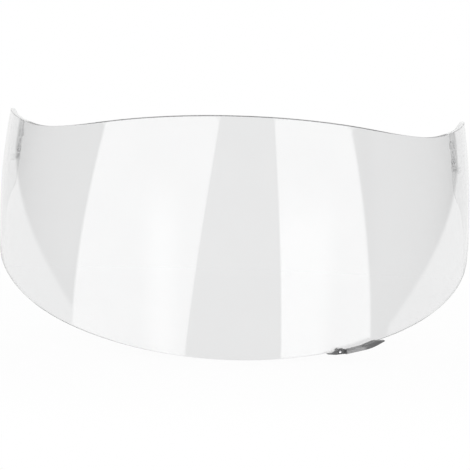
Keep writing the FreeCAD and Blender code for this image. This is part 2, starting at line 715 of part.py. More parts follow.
def main():
    sizes = dict(SIZES)
    sizes.update(derive(sizes))
    doc = FreeCAD.newDocument("shield_assembly")
    fill_sheet(doc, sizes)
    pin_place = place_pin(sizes)
    parts = [
        make_shield(doc, sizes, pin_place),
        make_lever(doc, sizes, pin_place),
        make_rivet(doc, sizes, pin_place),
        make_washer(
            doc, sizes, pin_place, "friction_washer",
            "friction_washer_diameter", "friction_washer_thickness", sizes["seat_gap"],
        ),
        make_washer(
            doc, sizes, pin_place, "backing_washer",
            "backing_washer_diameter", "backing_washer_thickness", -sizes["backing_floor"],
        ),
    ]
    doc.recompute()
    failed = [item.Name for item in doc.Objects if "Invalid" in item.State or "Error" in item.State]
    for part in parts:
        if part.Shape.isNull() or not part.Shape.isValid() or len(part.Shape.Solids) != 1:
            failed.append(part.Label)
    if failed:
        raise RuntimeError("not built: " + ", ".join(failed))
    os.makedirs("parts", exist_ok=True)
    for part in parts:
        part.Shape.exportStep("parts/" + part.Label + ".step")
        print(part.Label, round(part.Shape.Volume, 1), part.Shape.BoundBox)


main()
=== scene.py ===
import math

import bmesh
import bpy
from mathutils import Matrix, Vector


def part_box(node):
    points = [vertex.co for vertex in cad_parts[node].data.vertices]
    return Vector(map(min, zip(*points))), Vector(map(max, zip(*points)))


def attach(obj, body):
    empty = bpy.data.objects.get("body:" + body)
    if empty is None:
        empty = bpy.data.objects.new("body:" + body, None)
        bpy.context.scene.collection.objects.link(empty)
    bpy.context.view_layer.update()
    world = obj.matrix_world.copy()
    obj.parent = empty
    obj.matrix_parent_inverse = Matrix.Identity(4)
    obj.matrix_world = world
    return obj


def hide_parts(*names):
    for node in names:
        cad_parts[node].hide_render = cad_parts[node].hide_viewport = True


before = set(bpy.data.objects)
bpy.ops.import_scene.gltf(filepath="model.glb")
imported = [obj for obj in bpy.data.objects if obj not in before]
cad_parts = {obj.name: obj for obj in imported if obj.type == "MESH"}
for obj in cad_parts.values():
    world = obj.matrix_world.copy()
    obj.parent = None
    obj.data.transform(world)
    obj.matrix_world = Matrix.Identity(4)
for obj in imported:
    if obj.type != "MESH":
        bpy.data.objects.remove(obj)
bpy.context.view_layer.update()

# Clear face shield of a motorcycle helmet, with the small turning lever on its lower edge.
# The shape's lengths are millimetres until a mesh is made. The origin is midway between the ear
# pivots, the front faces -Y, +Z is up and +X is the wearer's left.

MM = 0.001

# The shell from above: a front arc, two shoulder arcs and two straight ears.
WALL = 2.1
FRONT_REACH = 149.6
REACH_LEAN = -1.1
REACH_BOW = -2.8
WAIST_HALF_WIDTH = 129.7
WIDTH_FALL = 8.0
FRONT_RADIUS = 145.0
WAIST_DROP = 38.0
SECTION_RISE = 74.0
FRONT_TURN = math.radians(35.9)
FRONT_SINE = math.sin(FRONT_TURN)
SHOULDER_RADIUS = (WAIST_HALF_WIDTH - FRONT_RADIUS * FRONT_SINE) / (1 - FRONT_SINE)

# The outline from the side, as corners with a radius: how far back, how high, and the rounding.
UPPER_CORNERS = [
    (-155.6, 22.4, 0.0),
    (-149.6, 22.4, 0.0),
    (-110.8, 10.9, 77.0),
    (-46.0, 21.9, 60.0),
    (8.0, 14.1, 9.0),
    (8.0, -4.0, 0.0),
]
LOWER_CORNERS = [
    (-155.6, -101.4, 0.0),
    (-149.6, -101.4, 0.0),
    (-59.7, -59.7, 40.0),
    (-26.5, -28.9, 22.0),
    (8.0, -20.0, 11.0),
    (8.0, 4.0, 0.0),
]

# The rim's rounding: at the top in the middle, and everywhere else. The first turns into the
# second towards the ears.
TOP_ROUND = 0.6
LOW_ROUND = 0.2
TOP_ROUND_REACH = 95.0

# The lever's pin: its place, the direction along the edge, upwards, and out of the shell.
PIN = Vector((54.0718, -137.8460, -95.8479))
PIN_ALONG = Vector((0.911128, 0.372350, 0.176641))
PIN_UP = Vector((-0.141918, -0.118923, 0.982709))
PIN_OUT = Vector((0.386918, -0.920442, -0.055511))
LOBE_RADIUS = 1.6
LOBE_INSET = 0.1
PIN_HOLE = 0.65

# What is moulded on the inside of each ear.
PIVOT_HOLE = 2.5
BOSS_RADIUS = 4.2
BOSS_HEIGHT = 0.6
HOOK_INNER = 5.6
HOOK_OUTER = 9.6
HOOK_HALF_TURN = math.radians(25.0)
HOOK_HEIGHT = 1.2
GUIDE_FRONT = -25.0
GUIDE_REAR = 3.0
GUIDE_LOW = -8.1
GUIDE_HIGH = -4.4
GUIDE_HEIGHT = 1.0
LUG_ROUND = 0.25
BORE_FLARE = 0.3
CUT_PAST = 2.0

# How finely the shell, its rim and its lugs are divided. The margin keeps the shell's own columns
# clear of those that follow the lobe, in radians.
EAR_COLUMNS = 76
ROWS = 36
LOBE_STEPS = 14
LOBE_MARGIN = 0.006
EDGE_TRIES = 12
RIM_STEPS = 4
CREST_STEPS = 4
HOOK_STEPS = 18
GUIDE_END_STEPS = 12
ROUND_STEPS = 64
PIN_HOLE_STEPS = 40
SHARP_ANGLE = math.radians(40)
NORMAL_WEIGHT = 50

# The camera of the photograph. Its clipping distances are metres.
CAMERA_PLACE = Vector((-4.478, -1147.768, 28.722))
CAMERA_TARGET = Vector((0.05, -150.0, -37.9))
CAMERA_LENS = 153.9
CAMERA_ROLL = math.radians(1.74)
CAMERA_SENSOR = 36.0
CAMERA_CLIP = (0.01, 100.0)

# Finishes. From here on lengths are metres, as a finished mesh and a shader have them. A tint is
# the two colours that a piece's noise runs between, and that noise mostly stays in its span.
NOISE_SPAN = (0.2, 0.8)
PLASTIC_IOR = 1.585
WASHER_IOR = 1.2
CLEAR_TINT = ((0.830, 0.832, 0.834), (0.852, 0.854, 0.855))
SHADE_TINT = (0.86, 0.87, 0.87)
SATIN_AND_SHADE_TINT = ((0.20, 0.20, 0.205), (0.30, 0.30, 0.305))
LEVER_TINT = ((0.070, 0.071, 0.073), (0.40, 0.40, 0.405))
STEEL_TINT = ((0.14, 0.14, 0.145), (0.72, 0.72, 0.73))
WASHER_TINT = ((0.90, 0.90, 0.89), (0.96, 0.96, 0.95))

# The upper rim's satin finish, whose dark grey is painted shade along the rim line: on faces that
# look up, above a height, but not on the ears' tops.
SATIN_SHADE_LOOKS_UP = 0.5
SATIN_SHADE_ABOVE = 0.0098
EAR_TOP_SPAN = (-0.090, 0.004)

# The lever's paler places, measured from its pin, which are painted light: the lip, a painted
# reflection of the white floor below, which ends at a height and has a start and an end along the
# lever, and the grip, a painted sheen.
LIP_TOP = (0.0002, 0.0005)
LIP_START = (0.0023, 0.0030)
LIP_END = (0.0115, 0.0150)
GRIP_SHEEN_SPAN = (0.006, 0.016)
LIP_REFLECTION_PALENESS = 0.8
GRIP_SHEEN_PALENESS = 0.16
GRAIN_PALENESS = 0.15

# The pin's head: where it stands out of the shell, and where the painted shade on its upper half
# begins, as if the hub's rim shaded it.
HEAD_OUT = (0.0000, 0.0003)
HEAD_SHADE_SPAN = (-0.0003, 0.0002)
HEAD_SHADE_DEPTH = 0.8
STEEL_GRAIN = 0.2
TURNING_PITCH = 0.00009

# The bevel of the carried-over solids' edges, this one in millimetres, and the weld before it.
EDGE_SOFTNESS = {
    "lock_lever": 0.14,
    "pivot_rivet": 0.04,
    "backing_washer": 0.06,
    "friction_washer": 0.05,
}
EDGE_SEGMENTS = 3
EDGE_ANGLE = math.radians(35)
WELD_DISTANCE = 0.000002

# Light that enters the rim is mirrored many times before it leaves the sheet.
ALL_BOUNCES = 40
SHEET_BOUNCES = 32

# A ray's depths are whole numbers, so each of these says "at least once", "twice" or "three times".
ONCE = 0.5
TWICE = 1.5
THREE_TIMES = 2.5

# The studio, in degrees round from straight ahead (positive towards +X) and up from level.
# Each light box has an outer and an inner edge: the angle at eye level, and how far it moves for
# each degree up. The last number of a span of three is how soft its ends are.
LIGHT_BOXES = [
    (-66.9, 0.82, -12.6, 0.615),
    (18.6, -0.31, 57.3, -0.69),
]
BOX_SIDE_SOFTNESS = 0.8
BOX_SPAN_UP = (-30.0, 24.0, 3.0)
BOX_LIGHT = 1.93

# The lamps behind the boxes' lower parts.
LAMP_SPANS = [(-37.0, -25.0), (18.0, 42.0)]
LAMP_SOFTNESS = 5.0
LAMPS_BELOW = (-4.0, 3.0)
BOX_GAIN = 0.45

# The room between the boxes, and the darkness at the sides.
ROOM_SPAN = (-26.0, 28.0, 3.0)
ROOM_LIGHT = 0.55
SIDE_FROM = (58.0, 66.0)
SIDE_LIGHT = 0.18
LEAST_LIGHT = 0.02
LEAST_MIRRORED_LIGHT = 0.10

# The white sweep reaches up to a line that climbs towards the back, and a little less on one side.
SWEEP_FROM = 74.0
SWEEP_LEVEL = -24.9
SWEEP_CLIMB = 0.195
SWEEP_TILT = -0.3
SWEEP_SOFTNESS = 0.8
SWEEP_FROM_SOFTNESS = 2.0
SWEEP_AHEAD_BELOW = (14.0, 18.0)
BACK_FROM = (134.0, 138.0)
WALL_LIGHT = 0.95
CEILING_FROM = (28.0, 50.0)
CEILING_LIGHT = 0.85

# The light that matt surfaces get: a level, and how much more from above than from the side.
MATT_LIGHT = 0.85
MATT_LIGHT_RISE = 0.25

# The floor, and how much light the visor takes from it near by.
FLOOR_RADIUS = 3.0
FLOOR_SEGMENTS = 96
FLOOR_COLOUR = (0.8, 0.8, 0.8)
SHADOW_REACH = (0.22, 0.40)
SHADOW_SHARE = 0.06


# The shell as a surface

def climb_at(height):
    return (height + WAIST_DROP) / SECTION_RISE


def share_at(height):
    return 1 - WIDTH_FALL / WAIST_HALF_WIDTH * climb_at(height) ** 2


def reach_at(height):
    climb = climb_at(height)
    return FRONT_REACH + REACH_LEAN * climb + REACH_BOW * climb * climb


def shell_point(turn, height, inset):
    """A point on one skin of the shell, at an angle from straight ahead towards +X."""
    share = share_at(height)
    front = FRONT_RADIUS * share
    centre_x = 0.0
    centre_y = front - reach_at(height)
    radius = front
    if abs(turn) > FRONT_TURN:
        shoulder = SHOULDER_RADIUS * share
        centre_x = math.copysign((front - shoulder) * math.sin(FRONT_TURN), turn)
        centre_y -= (front - shoulder) * math.cos(FRONT_TURN)
        radius = shoulder
    radius -= inset
    return Vector((centre_x + radius * math.sin(turn), centre_y - radius * math.cos(turn), height))


def ear_point(side, back, height, inset):
    """A point on the straight ear."""
    return Vector((side * (WAIST_HALF_WIDTH * share_at(height) - inset), back, height))


def rounded_path(corners):
    """Points along a line of corners, with an arc in each corner that has a radius."""
    path = []
    for index, (across, up, radius) in enumerate(corners):
        here = Vector((across, up))
        if radius == 0:
            path.append(here)
            continue
        before = (Vector(corners[index - 1][:2]) - here).normalized()
        after = (Vector(corners[index + 1][:2]) - here).normalized()
        half = before.angle(after) / 2
        centre = here + (before + after).normalized() * (radius / math.sin(half))
        start = here + before * (radius / math.tan(half)) - centre
        end = here + after * (radius / math.tan(half)) - centre
        sweep = start.angle_signed(end)
        steps = max(8, int(abs(math.degrees(sweep)) * 2))
        for step in range(steps + 1):
            turned = start.copy()
            turned.rotate(Matrix.Rotation(-sweep * step / steps, 2))
            path.append(centre + turned)
    return path


def height_on(path, across):
    """The height of a path where it passes a distance along Y."""
    for first, second in zip(path, path[1:]):
        if first.x <= across <= second.x:
            run = second.x - first.x
            part = (across - first.x) / run if run > 0 else 0.0
            return first.y + (second.y - first.y) * part
    raise ValueError("the path doesn't pass %.1f" % across)


def path_from(path, start, count):
    """Points at even steps along a path, from a point on it to its last arc's end."""
    kept = [start] + [point for point in path[:-1] if point.x > start.x + 1e-6]
    lengths = [0.0]
    for first, second in zip(kept, kept[1:]):
        lengths.append(lengths[-1] + (second - first).length)
    points = []
    for step in range(count + 1):
        wanted = lengths[-1] * step / count
        index = max(i for i, length in enumerate(lengths) if length <= wanted + 1e-9)
        if index + 1 >= len(kept):
            points.append(kept[-1])
            continue
        part = (wanted - lengths[index]) / (lengths[index + 1] - lengths[index])
        points.append(kept[index].lerp(kept[index + 1], part))
    return points


def edge_height(path, turn, inset):
    """Where a column of the shell meets the outline."""
    height = path[0].y
    for _ in range(EDGE_TRIES):
        height = height_on(path, shell_point(turn, height, inset).y)
    return height


def lobe_columns():
    """The columns that follow the round lobe under the lever's pin.

    Each is an angle and the lowest heights of the outer and the inner skin."""
    first = math.asin(LOBE_INSET / LOBE_RADIUS)
    columns = []
    for step in range(LOBE_STEPS + 1):
        angle = math.pi - first - (math.pi - 2 * first) * step / LOBE_STEPS
        place = PIN + PIN_ALONG * (LOBE_RADIUS * math.cos(angle))
        place -= PIN_UP * (LOBE_RADIUS * math.sin(angle))
        centre_y = FRONT_RADIUS * share_at(place.z) - reach_at(place.z)
        turn = math.atan2(place.x, centre_y - place.y)
        columns.append((turn, place.z, (place - PIN_OUT * WALL).z))
    return columns


def skin_grid(inset, rows):
    """One skin of the shield as columns of points, from the -X ear's rear edge to the +X ear's.

    The lower rim is square to the skins, and the upper rim runs straight back."""
    upper = rounded_path(UPPER_CORNERS)
    lower = rounded_path(LOWER_CORNERS)
    lobe = lobe_columns()
    shares = [row / rows for row in range(rows + 1)]
    turns = []
    for degree in range(-90, 91):
        turn = math.radians(degree)
        if not lobe[0][0] - LOBE_MARGIN < turn < lobe[-1][0] + LOBE_MARGIN:
            turns.append((turn, None))
    for turn, outer_low, inner_low in lobe:
        turns.append((turn, inner_low if inset else outer_low))
    turns.sort(key=lambda pair: pair[0])
    middle = []
    for turn, low in turns:
        if low is None:
            low = edge_height(lower, turn, 0.0)
        high = edge_height(upper, turn, inset)
        middle.append([shell_point(turn, low + (high - low) * share, inset) for share in shares])
    ears = {}
    for side, column in ((-1, middle[0]), (1, middle[-1])):
        low_path = path_from(lower, Vector((column[0].y, column[0].z)), EAR_COLUMNS)
        high_path = path_from(upper, Vector((column[-1].y, column[-1].z)), EAR_COLUMNS)
        ears[side] = []
        for low, high in list(zip(low_path, high_path))[1:]:
            places = [low.lerp(high, share) for share in shares]
            ears[side].append([ear_point(side, place.x, place.y, inset) for place in places])
    return list(reversed(ears[-1])) + middle + ears[1]


def rounded_edge(corner, skin_way, rim_way, radius):
    """Points of a rounding that leaves the skin and turns into the rim."""
    start = corner + skin_way * radius
    end = corner + rim_way * radius
    points = []
    for step in range(RIM_STEPS + 1):
        part = step / RIM_STEPS
        points.append(start * (1 - part) ** 2 + corner * (2 * part * (1 - part)) + end * part ** 2)
    return points


def border_of(columns, rows):
    """The grid's border, once round."""
    loop = [(column, 0) for column in range(columns + 1)]
    loop += [(columns, row) for row in range(1, rows + 1)]
    loop += [(column, rows) for column in range(columns - 1, -1, -1)]
    loop += [(0, row) for row in range(rows - 1, 0, -1)]
    return loop


def inward_way(grid, loop, index):
    """The direction in the skin, square to the border, that points into the sheet."""
    column, row = loop[index]
    here = grid[column][row]
    before = loop[index - 1]
    after = loop[(index + 1) % len(loop)]
    along = (grid[after[0]][after[1]] - grid[before[0]][before[1]]).normalized()
    inner_column = min(max(column, 1), len(grid) - 2)
    inner_row = min(max(row, 1), len(grid[0]) - 2)
    inside = grid[inner_column][inner_row] - here
    return (inside - along * inside.dot(along)).normalized()


def shield_mesh():
    """The bare shield: two skins and a rounded rim between them."""
    skins = [skin_grid(0.0, ROWS), skin_grid(WALL, ROWS)]
    columns = len(skins[0]) - 1
    loop = border_of(columns, ROWS)
    rims = []
    for index, (column, row) in enumerate(loop):
        outer, inner = (skin[column][row] for skin in skins)
        across = (inner - outer).normalized()
        rounding = LOW_ROUND
        if row == ROWS:
            share = max(0.0, 1 - (outer.x / TOP_ROUND_REACH) ** 2)
            rounding += (TOP_ROUND - LOW_ROUND) * share
        outer_edge = rounded_edge(outer, inward_way(skins[0], loop, index), across, rounding)
        inner_edge = rounded_edge(inner, inward_way(skins[1], loop, index), -across, rounding)
        rims.append(outer_edge + list(reversed(inner_edge)))
    mesh = bmesh.new()
    vertices = []
    for skin_index, skin in enumerate(skins):
        rim_index = 0 if skin_index == 0 else -1
        moved = {place: rims[index][rim_index] for index, place in enumerate(loop)}
        made = []
        for column in range(columns + 1):
            places = [moved.get((column, row), skin[column][row]) for row in range(ROWS + 1)]
            made.append([mesh.verts.new(place * MM) for place in places])
        vertices.append(made)
    for skin_index, grid in enumerate(vertices):
        for here, following in zip(grid, grid[1:]):
            for row in range(ROWS):
                face = [here[row], following[row], following[row + 1], here[row + 1]]
                mesh.faces.new(face if skin_index == 0 else list(reversed(face)))
    strips = []
    for index, (column, row) in enumerate(loop):
        line = [vertices[0][column][row]]
        line += [mesh.verts.new(point * MM) for point in rims[index][1:-1]]
        line.append(vertices[1][column][row])
        strips.append(line)
    for index, line in enumerate(strips):
        following = strips[(index + 1) % len(strips)]
        for place in range(len(line) - 1):
            mesh.faces.new([line[place], line[place + 1], following[place + 1], following[place]])
    return mesh


# Solids that are joined to the shield or cut from it

def swept_mesh(rings):
    """A closed solid through rings of points, flat at both ends."""
    mesh = bmesh.new()
    made = [[mesh.verts.new(point * MM) for point in ring] for ring in rings]
    for first, second in zip(made, made[1:]):
        for index in range(len(first)):
            following = (index + 1) % len(first)
            mesh.faces.new([first[index], first[following], second[following], second[index]])
    mesh.faces.new(list(reversed(made[0])))
    mesh.faces.new(made[-1])
    bmesh.ops.recalc_face_normals(mesh, faces=mesh.faces)
    return mesh


def turned_mesh(profile, centre, along, side_way, segments):
    """A solid turned about an axis, from pairs of distance along it and radius."""
    other = along.cross(side_way).normalized()
    rings = []
    for distance, radius in profile:
        ring = []
        for segment in range(segments):
            angle = 2 * math.pi * segment / segments
            way = side_way * math.cos(angle) + other * math.sin(angle)
            ring.append(centre + along * distance + way * radius)
        rings.append(ring)
    return swept_mesh(rings)


def lug_mesh(side, outline, root, top):
    """A moulded lug on an ear's inside, from its root in the wall to its rounded crest."""
    count = len(outline)
    ways = []
    for index in range(count):
        along = outline[(index + 1) % count] - outline[index - 1]
        way = Vector((along.y, -along.x)).normalized()
        ways.append(way)
    centre = sum(outline, Vector((0.0, 0.0))) / count
    if sum((point - centre).dot(way) for point, way in zip(outline, ways)) < 0:
        ways = [-way for way in ways]
    rings = [[Vector((side * root, point.x, point.y)) for point in outline]]
    for step in range(CREST_STEPS + 1):
        angle = math.pi / 2 * step / CREST_STEPS
        inset = LUG_ROUND * (1 - math.cos(angle))
        level = top + LUG_ROUND * (1 - math.sin(angle))
        ring = []
        for point, way in zip(outline, ways):
            moved = point - way * inset
            ring.append(Vector((side * level, moved.x, moved.y)))
        rings.append(ring)
    return swept_mesh(rings)


def hook_outline():
    """The hook's outline from the side: a ring sector above the pivot."""
    ways = []
    for step in range(HOOK_STEPS + 1):
        angle = math.pi / 2 - HOOK_HALF_TURN + 2 * HOOK_HALF_TURN * step / HOOK_STEPS
        ways.append(Vector((math.cos(angle), math.sin(angle))))
    return [way * HOOK_OUTER for way in ways] + [way * HOOK_INNER for way in reversed(ways)]


def guide_outline():
    """The guide rib's outline from the side: a bar with rounded ends."""
    middle = (GUIDE_LOW + GUIDE_HIGH) / 2
    radius = (GUIDE_HIGH - GUIDE_LOW) / 2
    points = []
    for end, start in ((GUIDE_REAR - radius, -math.pi / 2), (GUIDE_FRONT + radius, math.pi / 2)):
        for step in range(GUIDE_END_STEPS + 1):
            angle = start + math.pi * step / GUIDE_END_STEPS
            across = end + radius * math.cos(angle)
            points.append(Vector((across, middle + radius * math.sin(angle))))
    return points


def boss_outline():
    turns = [2 * math.pi * step / ROUND_STEPS for step in range(ROUND_STEPS)]
    return [Vector((math.cos(turn), math.sin(turn))) * BOSS_RADIUS for turn in turns]


def bore_mesh(side):
    """The cutter for a pivot hole, flared a little where it leaves the boss and the wall."""
    outer = WAIST_HALF_WIDTH * share_at(0.0)
    inner = outer - WALL - BOSS_HEIGHT
    wide = PIVOT_HOLE + BORE_FLARE + CUT_PAST
    profile = [
        (inner - CUT_PAST, wide),
        (inner + BORE_FLARE, PIVOT_HOLE),
        (outer - BORE_FLARE, PIVOT_HOLE),
        (outer + CUT_PAST, wide),
    ]
    axis = Vector((side, 0, 0))
    return turned_mesh(profile, Vector((0, 0, 0)), axis, Vector((0, 1, 0)), ROUND_STEPS)


def pin_hole_mesh():
    """The cutter for the hole that the lever's pin goes through."""
    profile = [(-WALL - CUT_PAST, PIN_HOLE), (CUT_PAST, PIN_HOLE)]
    return turned_mesh(profile, PIN, PIN_OUT, PIN_ALONG, PIN_HOLE_STEPS)


def new_object(name, mesh):
    data = bpy.data.meshes.new(name)
    mesh.to_mesh(data)
    mesh.free()
    made = bpy.data.objects.new(name, data)
    bpy.context.scene.collection.objects.link(made)
    return made


def combine(target, tool_mesh, operation):
    """Join a solid to the target or cut it out, and keep the result as the target's mesh."""
    tool = new_object("tool", tool_mesh)
    modifier = target.modifiers.new("combine", "BOOLEAN")
    modifier.operation = operation
    modifier.solver = "EXACT"
    modifier.object = tool
    graph = bpy.context.evaluated_depsgraph_get()
    result = bpy.data.meshes.new_from_object(target.evaluated_get(graph))
    target.modifiers.clear()
    target.data = result
    bpy.data.objects.remove(tool)


def make_shield():
    """The shield with its lugs and holes, as one mesh."""
    shield = new_object("clear_shell", shield_mesh())
    for side in (-1, 1):
        for outline, height, middle in (
            (boss_outline(), BOSS_HEIGHT, 0.0),
            (hook_outline(), HOOK_HEIGHT, (HOOK_INNER + HOOK_OUTER) / 2),
            (guide_outline(), GUIDE_HEIGHT, (GUIDE_LOW + GUIDE_HIGH) / 2),
        ):
            face = WAIST_HALF_WIDTH * share_at(middle) - WALL
            combine(shield, lug_mesh(side, outline, face + WALL / 2, face - height), "UNION")
        combine(shield, bore_mesh(side), "DIFFERENCE")
    combine(shield, pin_hole_mesh(), "DIFFERENCE")
    for polygon in shield.data.polygons:
        polygon.use_smooth = True
    shield.data.set_sharp_from_angle(angle=SHARP_ANGLE)
    weighted = shield.modifiers.new("weighted", "WEIGHTED_NORMAL")
    weighted.keep_sharp = True
    weighted.weight = NORMAL_WEIGHT
    return shield


# Materials

def new_material(name):
    material = bpy.data.materials.new(name)
    material.use_nodes = True
    tree = material.node_tree
    shader = tree.nodes["Principled BSDF"]
    return material, tree, shader


def maths(tree, operation, first, second=None, third=None):
    """A math node with sockets or plain numbers as its inputs."""
    node = tree.nodes.new("ShaderNodeMath")
    node.operation = operation
    for socket, value in zip(node.inputs, (first, second, third)):
        if value is None:
            continue
        if isinstance(value, (int, float)):
            socket.default_value = value
        else:
            tree.links.new(value, socket)
    return node.outputs[0]


def remainder(tree, value):
    """What is left of 1 when the value is taken away."""
    return maths(tree, "SUBTRACT", 1.0, value)


def smooth_step(tree, value, low, high):
    """0 below low, 1 above high, and a smooth rise between."""
    node = tree.nodes.new("ShaderNodeMapRange")
    node.interpolation_type = "SMOOTHSTEP"
    tree.links.new(value, node.inputs["Value"])
    for name, edge in (("From Min", low), ("From Max", high)):
        if isinstance(edge, (int, float)):
            node.inputs[name].default_value = edge
        else:
            tree.links.new(edge, node.inputs[name])
    return node.outputs["Result"]


def noise(tree, scale, detail):
    coordinates = tree.nodes.new("ShaderNodeTexCoord")
    texture = tree.nodes.new("ShaderNodeTexNoise")
    texture.inputs["Scale"].default_value = scale
    texture.inputs["Detail"].default_value = detail
    tree.links.new(coordinates.outputs["Object"], texture.inputs["Vector"])
    return texture.outputs["Fac"]


def base_colour(tree, shader, value, low, high):
    """Give the shader a colour between two colours."""
    node = tree.nodes.new("ShaderNodeMix")
    node.data_type = "RGBA"
    tree.links.new(value, node.inputs["Factor"])
    node.inputs["A"].default_value = (*low, 1)
    node.inputs["B"].default_value = (*high, 1)
    tree.links.new(node.outputs["Result"], shader.inputs["Base Color"])


def roughness(tree, shader, value, gain, least):
    """Give the shader a roughness that follows a value."""
    tree.links.new(maths(tree, "MULTIPLY_ADD", value, gain, least), shader.inputs["Roughness"])


def bump(tree, shader, height, distance, strength):
    node = tree.nodes.new("ShaderNodeBump")
    node.inputs["Distance"].default_value = distance
    node.inputs["Strength"].default_value = strength
    tree.links.new(height, node.inputs["Height"])
    tree.links.new(node.outputs["Normal"], shader.inputs["Normal"])


def clear_polycarbonate():
    """Clear hard-coated plastic, which lets light through to what it shades."""
    material, tree, shader = new_material("clear_polycarbonate")
    shader.inputs["Transmission Weight"].default_value = 1.0
    shader.inputs["IOR"].default_value = PLASTIC_IOR
    shader.inputs["Roughness"].default_value = 0.0
    base_colour(tree, shader, noise(tree, scale=40.0, detail=2.0), *CLEAR_TINT)
    ripple = noise(tree, scale=22.0, detail=1.0)
    bump(tree, shader, ripple, distance=0.00002, strength=0.25)
    clear = tree.nodes.new("ShaderNodeBsdfTransparent")
    clear.inputs["Color"].default_value = (*SHADE_TINT, 1)
    path = tree.nodes.new("ShaderNodeLightPath")
    mix = tree.nodes.new("ShaderNodeMixShader")
    output = tree.nodes["Material Output"]
    tree.links.new(path.outputs["Is Shadow Ray"], mix.inputs["Fac"])
    tree.links.new(shader.outputs["BSDF"], mix.inputs[1])
    tree.links.new(clear.outputs["BSDF"], mix.inputs[2])
    tree.links.new(mix.outputs["Shader"], output.inputs["Surface"])
    return material


def trimmed_edge():
    """The upper edge, trimmed and left satin, which lets less light through than the skins. Its
    dark grey colour is painted shade along the rim line.
    """
    material, tree, shader = new_material("trimmed_edge")
    shader.inputs["Transmission Weight"].default_value = 0.25
    shader.inputs["IOR"].default_value = PLASTIC_IOR
    tone = noise(tree, scale=300.0, detail=2.0)
    # The dark grey colour is painted shade that darkens the upper rim line.
    base_colour(tree, shader, tone, *SATIN_AND_SHADE_TINT)
    roughness(tree, shader, tone, gain=0.10, least=0.25)
    return material


def from_pin(tree, way):
    """How far any point of a material is from the lever's pin in one direction, in metres."""
    coordinates = tree.nodes.new("ShaderNodeTexCoord")
    away = tree.nodes.new("ShaderNodeVectorMath")
    away.operation = "SUBTRACT"
    away.inputs[1].default_value = PIN * MM
    tree.links.new(coordinates.outputs["Object"], away.inputs[0])
    dot = tree.nodes.new("ShaderNodeVectorMath")
    dot.operation = "DOT_PRODUCT"
    dot.inputs[1].default_value = way
    tree.links.new(away.outputs["Vector"], dot.inputs[0])
    return dot.outputs["Value"]


def lever_plastic():
    """Dark grey plastic with a satin grain, made paler at the grip by a painted sheen and palest on
    the lip by a painted reflection of the floor.
    """
    material, tree, shader = new_material("lever_plastic")
    along = from_pin(tree, PIN_ALONG)
    up = from_pin(tree, PIN_UP)
    # Painted reflection: the lip is made pale, as if it mirrored the white floor below.
    lip = remainder(tree, smooth_step(tree, up, *LIP_TOP))
    lip = maths(tree, "MULTIPLY", lip, smooth_step(tree, along, *LIP_START))
    lip = maths(tree, "MULTIPLY", lip, remainder(tree, smooth_step(tree, along, *LIP_END)))
    grain = maths(tree, "MULTIPLY", noise(tree, scale=700.0, detail=3.0), GRAIN_PALENESS)
    tone = maths(tree, "MULTIPLY_ADD", lip, LIP_REFLECTION_PALENESS, grain)
    # Painted sheen: the lever is made paler towards its grip end.
    grip_sheen = smooth_step(tree, along, *GRIP_SHEEN_SPAN)
    tone = maths(tree, "MULTIPLY_ADD", grip_sheen, GRIP_SHEEN_PALENESS, tone)
    base_colour(tree, shader, tone, *LEVER_TINT)
    sheen = smooth_step(tree, noise(tree, scale=260.0, detail=2.0), *NOISE_SPAN)
    grip = maths(tree, "MULTIPLY_ADD", sheen, 0.10, 0.27)
    roughness(tree, shader, lip, gain=-0.08, least=grip)
    pits = noise(tree, scale=5200.0, detail=2.0)
    bump(tree, shader, pits, distance=0.00002, strength=0.5)
    return material


def turned_steel():
    """Steel with the fine rings that turning leaves, with painted shade on the upper half of the
    head.
    """
    material, tree, shader = new_material("turned_steel")
    shader.inputs["Metallic"].default_value = 1.0
    squares = [maths(tree, "POWER", from_pin(tree, way), 2.0) for way in (PIN_ALONG, PIN_UP)]
    radius = maths(tree, "SQRT", maths(tree, "ADD", *squares))
    rings = maths(tree, "SINE", maths(tree, "MULTIPLY", radius, 2 * math.pi / TURNING_PITCH))
    tone = smooth_step(tree, noise(tree, scale=900.0, detail=2.0), *NOISE_SPAN)
    head = smooth_step(tree, from_pin(tree, PIN_OUT), *HEAD_OUT)
    # Painted shade: the upper half of the head is darkened, as if in the shade of the hub's rim.
    head_shade = maths(tree, "MULTIPLY", head, smooth_step(tree, from_pin(tree, PIN_UP), *HEAD_SHADE_SPAN))
    shade_darkening = maths(tree, "MULTIPLY", head_shade, HEAD_SHADE_DEPTH)
    level = maths(tree, "SUBTRACT", 1 - STEEL_GRAIN, shade_darkening)
    bright = maths(tree, "MULTIPLY_ADD", tone, STEEL_GRAIN, level)
    base_colour(tree, shader, bright, *STEEL_TINT)
    roughness(tree, shader, tone, gain=0.10, least=0.20)
    bump(tree, shader, rings, distance=0.000004, strength=0.5)
    return material


def washer_plastic():
    """Natural slippery plastic, milky and thin enough to let light through."""
    material, tree, shader = new_material("washer_plastic")
    shader.inputs["Transmission Weight"].default_value = 0.85
    shader.inputs["IOR"].default_value = WASHER_IOR
    shader.inputs["Roughness"].default_value = 0.35
    base_colour(tree, shader, noise(tree, scale=800.0, detail=3.0), *WASHER_TINT)
    pits = noise(tree, scale=4000.0, detail=2.0)
    bump(tree, shader, pits, distance=0.00002, strength=0.4)
    return material


# The studio: two soft boxes in front, white low down and behind, and dim light at the sides

def band(tree, value, low, high, soft):
    """1 between two edges, which may be sockets, and smooth outside them."""
    rise = smooth_step(tree, maths(tree, "SUBTRACT", value, low), -soft, soft)
    fall = smooth_step(tree, maths(tree, "SUBTRACT", high, value), -soft, soft)
    return maths(tree, "MULTIPLY", rise, fall)


